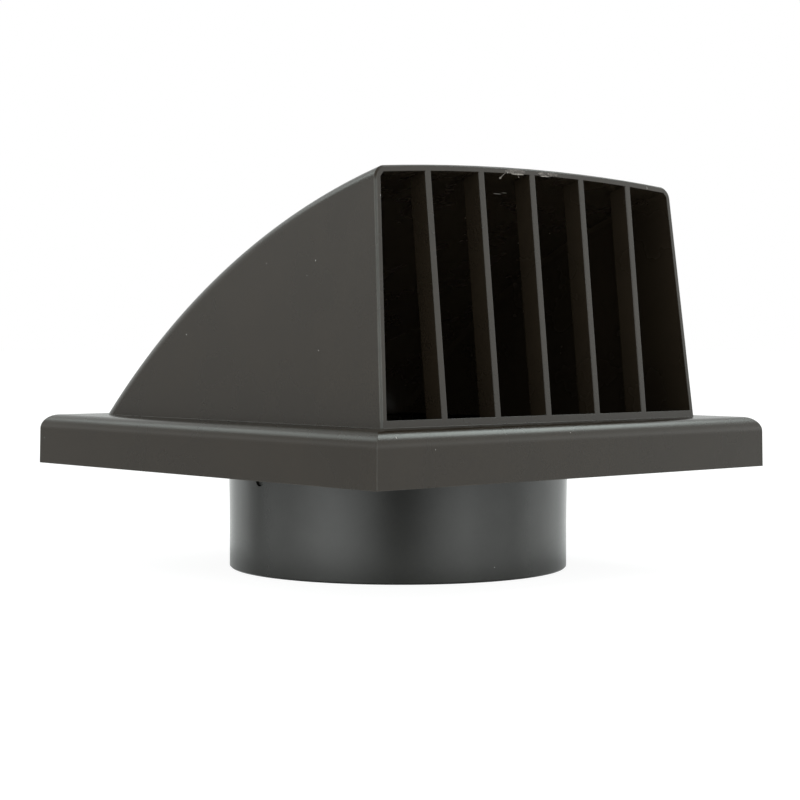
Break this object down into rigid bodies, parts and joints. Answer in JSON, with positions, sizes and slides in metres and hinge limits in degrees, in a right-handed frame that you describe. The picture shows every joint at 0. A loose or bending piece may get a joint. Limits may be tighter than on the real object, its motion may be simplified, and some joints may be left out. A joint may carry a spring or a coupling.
{
  "type": "hooded extractor vent",
  "caption": "Plastic wall vent with a sloping hood over a barred mouth, a square wall plate, and a round duct spigot holding a gravity back-draught flap.",
  "frame": {"origin": "on the axis of the duct spigot, in the plane of the wall", "axes": "+Z out of the wall towards the hood, the mouth of the hood faces -Y, X along the flap's spindle"},
  "size_m": [0.15, 0.15, 0.1124],
  "materials": {
    "cowl": "fine satin texture, dark brown",
    "spigot_plate": "smooth semi-gloss, dark grey-brown",
    "flap": "smooth semi-gloss, dark grey-brown"
  },
  "bodies": {
    "vent_body": {"cowl": "cowl", "spigot_plate": "spigot_plate"},
    "flap": {"flap": "flap"}
  },
  "joints": [
    {"name": "flap_swing", "type": "hinge", "parent": "vent_body", "child": "flap", "pos_m": [0, 0.003, -0.0025], "axis": [-1, 0, 0], "range_deg": [0, 80]}
  ]
}
